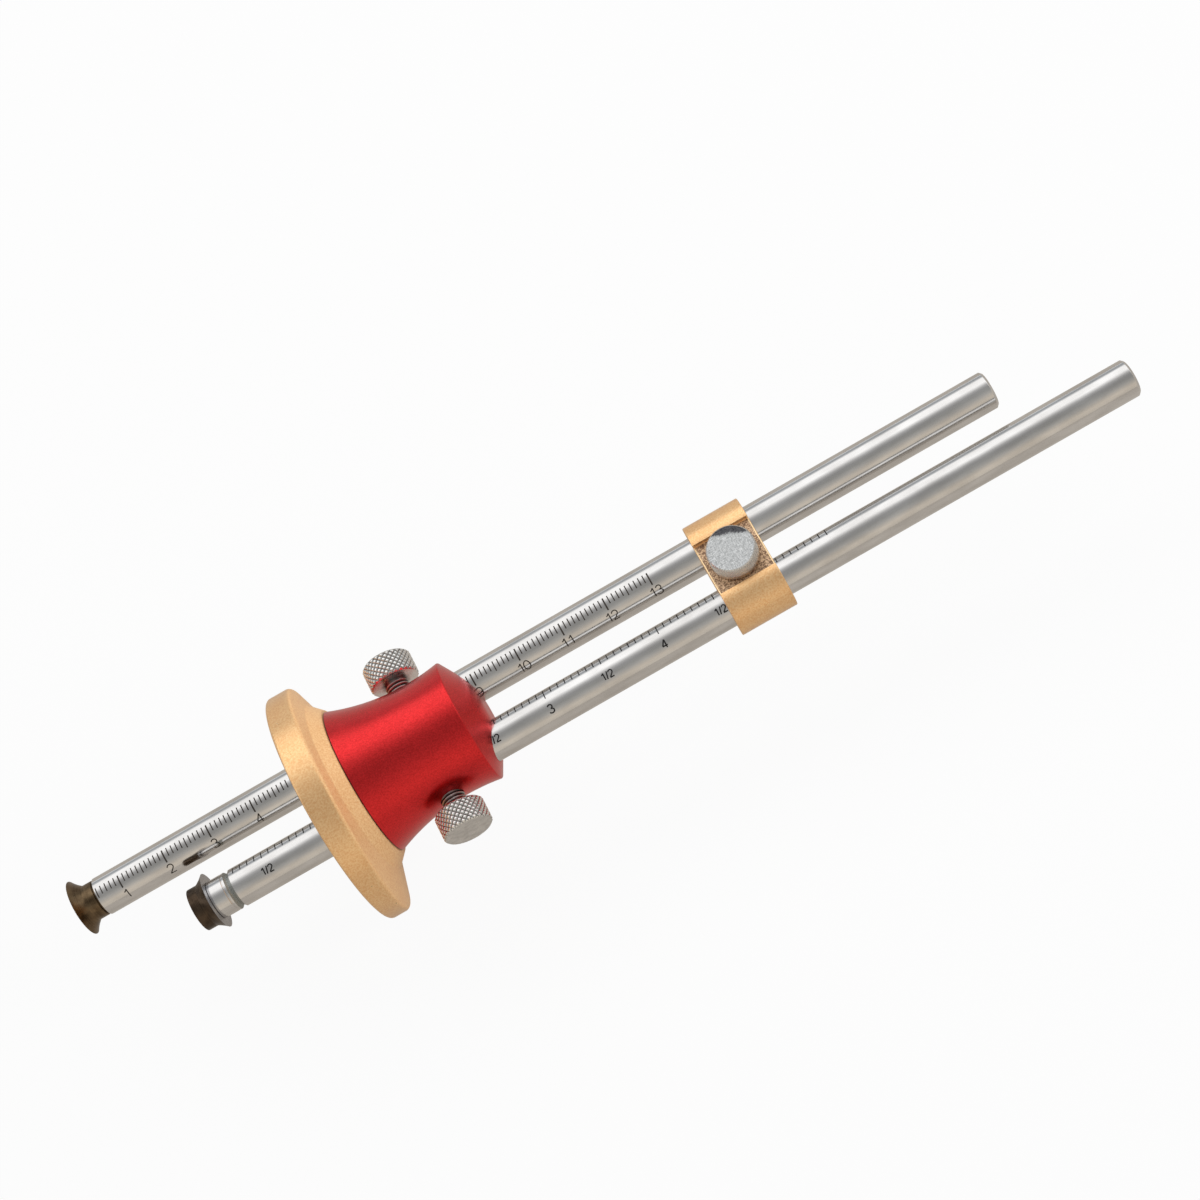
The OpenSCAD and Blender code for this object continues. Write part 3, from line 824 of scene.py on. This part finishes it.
# Countersunk socket screw: rows from the middle of the socket's floor out to its six flats,
# up to the face, across to the head's edge, down the cone and along the shank.
def sunkScrew(length):
    angle = columnAngles(sunkHead["columns"])
    flats = sunkHead["socket"] / np.cos((angle + np.pi / 6) % (np.pi / 3) - np.pi / 6)
    deep, head, thread = sunkHead["socketDepth"], sunkHead["radius"], sunkHead["thread"]
    ledge = head - thread
    rows = [(0, deep + 0.25), (0.6 * flats, deep), (flats, deep), (flats, 0.12),
            (flats + 0.12, 0.02), (head - 0.14, 0), (head - 0.06, 0.02), (head, 0.08),
            (head, 0.16), (thread + 0.05, ledge), (thread, ledge + 0.1), (thread, length - 0.4),
            (thread - 0.4, length), (0, length)]
    radius = np.stack([r + 0 * angle for r, h in rows])
    return revolved(radius, np.array([[h] for r, h in rows]), angle)


for name, (at, length, rider, hides) in sunkScrews.items():
    mesh = gridMesh(name, laid(sunkScrew(length), "x", at))
    shade(addPiece(name, mesh, rider, screwBlack, hides), 30)

thumb = {
    "lock": {"head": 5.15, "height": 5.1, "shank": 4.3, "thread": 2.5, "pitch": 0.8,
             "deep": 0.27, "diamonds": 27, "diamondPitch": 1.12, "diamondDepth": 0.25,
             "seat": 10.95, "end": [(0, 1.6), (1.55, 1.6), (1.55, 0)]},  # bored for the brass tip
    "bridge": {"head": 5.0, "height": 4.5, "shank": 10.0, "thread": 2.0, "pitch": 0.7,
               "deep": 0.25, "diamonds": 60, "diamondPitch": 0.55, "diamondDepth": 0.2,
               "seat": -5.0, "end": [(0, 0)]},
    # how dark the painted shade is: in the thread's roots, along the thread, on the neck and on the
    # cap
    "edge": 0.35, "tops": 0.47, "rootShade": 0.4, "threadShade": 0.6, "neckShade": 0.8,
    "capShade": 0.5, "relief": 0.6, "runout": 0.5, "pitchRows": 12, "knurlRows": 56,
    "columns": 360,
}


# 0 at whole numbers and 1 half way between them, straight in between
def zigzag(value):
    return np.abs(2 * (value - np.floor(value + 0.5)))


# Thumb screw: a profile turned round its axis. Along the shank the radius follows a thread,
# a smoothed zigzag of height less turn. Round the head it follows the lower of two zigzags,
# one of turn plus height and one of turn less height, cut off to leave flat-topped pyramids.
def thumbScrew(name, node, look, axis, at, side, paint):
    shank, head, thread, edge = look["shank"], look["head"], look["thread"], thumb["edge"]
    top, rim, threadEnd = shank + look["height"], head - edge, shank - thumb["relief"]
    neck, low = thread - look["deep"] * 0.9, np.linspace(0, edge, 5)[1:-1]
    threadRows = np.linspace(0.05, threadEnd, int(threadEnd / look["pitch"] * thumb["pitchRows"]))
    knurlRows = np.linspace(shank + edge, top - edge, thumb["knurlRows"])
    parts = {
        "end": [*look["end"], (thread - look["deep"], 0)],
        "thread": [(thread, height) for height in threadRows],
        "neck": [(neck, shank - 0.5), (neck, shank)],
        "face": [(head - 1.0, shank), (rim, shank)],
        "knurl": [*((rim + s, shank + s) for s in low),
                  *((head, height) for height in knurlRows),
                  *((head - s, top - edge + s) for s in low)],
        "cap": [(rim, top), (rim - 0.08, top), (head / 2, top), (0, top)],
    }
    radius, height = np.concatenate(list(parts.values())).T[..., None]
    kind = np.repeat(list(parts), [len(rows) for rows in parts.values()])[:, None]
    turn = np.arange(thumb["columns"]) / thumb["columns"]
    wave = zigzag(height / look["pitch"] - turn)
    wave = wave ** 2 * (3 - 2 * wave)
    lead = np.clip((height + 0.1) / thumb["runout"], 0, 1)
    cut = thread - look["deep"] * (1 - wave * lead)
    around, rise = turn * look["diamonds"], height / look["diamondPitch"]
    pyramid = np.minimum(zigzag(around + rise), zigzag(around - rise))
    pyramid = np.clip(pyramid / thumb["tops"], 0, 1)
    knurled = np.minimum(radius, head - look["diamondDepth"] * (1 - pyramid))
    radius = np.select([kind == "thread", kind == "knurl"], [cut, knurled], radius)
    # Painted shade in the knurl's hollows and the thread's roots. The thread and neck are darkened
    # all over as a painted reflection of their dark surroundings, and the cap a little
    pit = np.select([kind == "thread", kind == "neck", kind == "knurl", kind == "cap"],
                    [thumb["threadShade"] + (1 - wave) * thumb["rootShade"], thumb["neckShade"],
                     1 - pyramid, thumb["capShade"]], 0)
    grid = laid(revolved(radius, height, columnAngles(thumb["columns"])), axis, at, side)
    mesh = gridMesh(name, grid, pit=pit)
    shade(addPiece(name, mesh, node, paint, [node]), 40)


lock = thumb["lock"]
for name, side in (("metric", 1), ("inch", -1)):
    at = (bores["lockX"], side * lock["seat"], 0)
    thumbScrew(name + "_thumb_screw", name + "_lock_screw", lock, "y", at, side, nickel)
at = (bridgeScrewX, 0, thumb["bridge"]["seat"])
thumbScrew("bridge_thumb_screw", "bridge_screw", thumb["bridge"], "z", at, 1,
           plated("brushed_nickel", True))
for name in ("metric_lock_tip", "inch_lock_tip"):
    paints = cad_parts[name].data.materials
    paints.clear()
    paints.append(brass)
print("screws made")


bridge = {"x": 88.1, "length": 12.4, "lobe": 6.2, "web": 5.0, "panel": 12.0, "fillet": 0.12,
          "edge": 0.22, "slit": 0.8, "slitHalf": 6.5, "boreChamfer": 0.2}


# Bridge: its outline (two lobes joined by sunk flats) carried along X. The outline is drawn
# in once more at each end for the edge break, and one face closes each end.
def bridgeGrid():
    lobe, web, half, fillet = bridge["lobe"], bridge["web"], bridge["panel"] / 2, bridge["fillet"]
    lean = math.asin((rodY - half) / lobe)
    turn = np.linspace(math.pi / 2 + lean, -math.pi / 2 - lean, 60)
    curve = np.stack([rodY + lobe * np.cos(turn), lobe * np.sin(turn)], 1)
    flat = np.linspace(half - fillet, -half + fillet, 5)[1:-1]
    foot = np.array([(half, -web - fillet), (half - fillet / 4, -web - fillet / 4),
                     (half - fillet, -web)])
    lower = np.concatenate([foot, np.stack([flat, -web + 0 * flat], 1), foot[::-1] * (-1, 1)])
    outline = np.concatenate([curve, lower, (curve * (-1, 1))[::-1], lower * (-1, -1)])
    tangent = np.roll(outline, -1, 0) - np.roll(outline, 1, 0)
    normal = np.stack([-tangent[:, 1], tangent[:, 0]], 1)
    normal /= np.linalg.norm(normal, axis=1)[:, None]
    edge, length = bridge["edge"], bridge["length"]
    slices = [(edge * (1 - math.sin(t)), edge * (1 - math.cos(t)))
              for t in np.linspace(0, np.pi / 2, 4)]
    slices.append((0, edge + 0.05))
    slices += [(draw, length - x) for draw, x in slices[::-1]]
    grid = [np.insert(outline - normal * draw, 0, x, axis=1) for draw, x in slices]
    return np.stack(grid) + (bridge["x"], 0, 0)


# Tool for the slit between the rods: a box along X, its two ends closed by rows of one point
def slitTool():
    half = (bridge["slit"] / 2, bridge["slitHalf"], bridge["length"] / 2 + 1)
    loop = np.array([[-1, -1, -1], [1, -1, -1], [1, 1, -1], [-1, 1, -1]], float)
    box = np.stack([loop * (0, 0, 1), loop, loop * (1, 1, -1), loop * (0, 0, -1)]) * half
    return box[..., ::-1] + (bridge["x"] + bridge["length"] / 2, 0, 0)


mesh = gridMesh("bridge", bridgeGrid(), flatEnds=True)
piece = addPiece("bridge_block", mesh, "bridge", bridgeGold, ["bridge_clamp"])
hole = laid(holeTool(*bores["bridgeScrew"]), "z", (bridgeScrewX, 0, 0))
cutAway(piece, [rodHoles(bridge["x"], bridge["x"] + bridge["length"], bridge["boreChamfer"]),
                [slitTool()], [hole]])
shade(piece)
print("bridge made")


# The floor glows plain for the camera, dimmer and warmer in what shiny surfaces mirror
stage = {"half": 4, "under": 0.0003, "grey": (0.6, 0.6, 0.6), "rough": 0.9,
         "glow": (1, 1, 1), "share": 0.93, "mirrored": (0.47, 0.42, 0.36), "mirroredShare": 0.8}
half, floorZ = stage["half"], cadBox[0][2] - stage["under"]
mesh = bpy.data.meshes.new("floor")
mesh.from_pydata([(x * half, y * half, floorZ) for x, y in ((-1, -1), (1, -1), (1, 1), (-1, 1))],
                 [], [(0, 1, 2, 3)])
floor = linked("floor", mesh)
paper = Finish("pale_floor", Roughness=stage["rough"], Base_Color=(*stage["grey"], 1.0))
ray, shine, clear = (paper.node("LightPath", out=f"Is {kind} Ray")
                     for kind in ("Camera", "Glossy", "Transmission"))
light = paper.mixed(shine, stage["glow"], stage["mirrored"])
glow = paper.node("Emission", {}, {"Color": light, "Strength": 1.0})
share = ray * stage["share"] + shine * stage["mirroredShare"] + clear * stage["share"]
blend = paper.node("MixShader", {}, {0: share, 1: Wire(paper.shader.outputs[0]), 2: glow})
paper.tree.links.new(blend.socket, paper.tree.nodes["Material Output"].inputs["Surface"])
mesh.materials.append(paper.material)

scene = bpy.context.scene
world = bpy.data.worlds.new("studio")
scene.world = world
world.use_nodes = True
studio = Nodes(world.node_tree)

# What shiny surfaces see round the object, by the angle from straight up towards the viewer:
# pale walls at the horizon, a dim ceiling, and a warmer wall in front.
surround = [(-180, (0.55, 0.56, 0.57)), (-112, (0.62, 0.63, 0.64)), (-100, (0.90, 0.92, 0.94)),
            (-88, (0.78, 0.80, 0.82)), (-78, (0.35, 0.37, 0.39)), (-68, (0.48, 0.50, 0.52)),
            (-58, (1.25, 1.25, 1.25)), (-28, (1.25, 1.25, 1.25)), (-18, (0.85, 0.85, 0.85)),
            (-8, (0.50, 0.50, 0.50)), (5, (0.34, 0.34, 0.34)), (22, (0.34, 0.34, 0.33)),
            (40, (0.45, 0.44, 0.42)), (68, (0.69, 0.62, 0.53)), (95, (0.62, 0.57, 0.50)),
            (130, (0.53, 0.48, 0.43)), (180, (0.50, 0.48, 0.46))]
glare, ambient = 1.25, 0.45
direction = studio.node("TexCoord", out="Generated")
forward, upward = 0 - studio.axis(direction, "Y"), studio.axis(direction, "Z")
turnUp = forward.maths("ARCTAN2", forward, upward) * (0.5 / math.pi) + 0.5
stops = [(a / 360 + 0.5, (*(level / glare for level in colour), 1.0)) for a, colour in surround]
walls = studio.node("ValToRGB", {"stops": stops}, {0: turnUp})
cameraRay, glossyRay, clearRay = (studio.node("LightPath", out=f"Is {kind} Ray")
                                  for kind in ("Camera", "Glossy", "Transmission"))
plain = studio.mixed(cameraRay + clearRay, (ambient,) * 3, (1, 1, 1))
bright = studio.node("VectorMath", {"operation": "SCALE"}, {0: walls, "Scale": glare})
seen = studio.mixed(glossyRay, plain, bright)
studio.tree.links.new(seen.socket, studio.tree.nodes["Background"].inputs["Color"])

lamps = {
    "overhead": {"at": (0.05, 0.37, 0.41), "aim": (0.05, 0, 0), "size": (0.75, 0.28), "power": 2.2},
    "front": {"at": (-0.25, -0.45, 0.30), "aim": (0.04, 0, 0), "size": (0.3, 0.3), "power": 0.5},
    "end": {"at": (0.50, -0.12, 0.36), "aim": (0.02, 0, 0), "size": (0.3, 0.3), "power": 1.6},
}
for name, lamp in lamps.items():
    light = bpy.data.lights.new(name, "AREA")
    light.shape, light.size, light.size_y = "RECTANGLE", *lamp["size"]
    light.energy = lamp["power"]
    holder = linked(name, light)
    holder.location = lamp["at"]
    holder.visible_glossy = False
    aim = Vector(lamp["aim"]) - Vector(lamp["at"])
    holder.rotation_euler = aim.to_track_quat("-Z", "Y").to_euler()

# The camera as fitted to the photograph: its place, its three directions and its lens
view = {"at": (0.08290, -0.19473, 0.41797), "right": (0.86812, -0.45348, -0.20180),
        "up": (0.49635, 0.79167, 0.35622), "back": (-0.00178, -0.40941, 0.91235),
        "lens": 70.08, "sensor": 36, "shift": (-0.0912, 0.0181), "near": 0.01}
camera = linked("camera", bpy.data.cameras.new("camera"))
facing = Matrix((view["right"], view["up"], view["back"])).transposed().to_4x4()
camera.matrix_world = Matrix.Translation(view["at"]) @ facing
camera.data.lens, camera.data.sensor_width = view["lens"], view["sensor"]
camera.data.shift_x, camera.data.shift_y = view["shift"]
camera.data.clip_start = view["near"]
scene.camera = camera
scene.view_settings.view_transform = "Standard"
print("studio made")
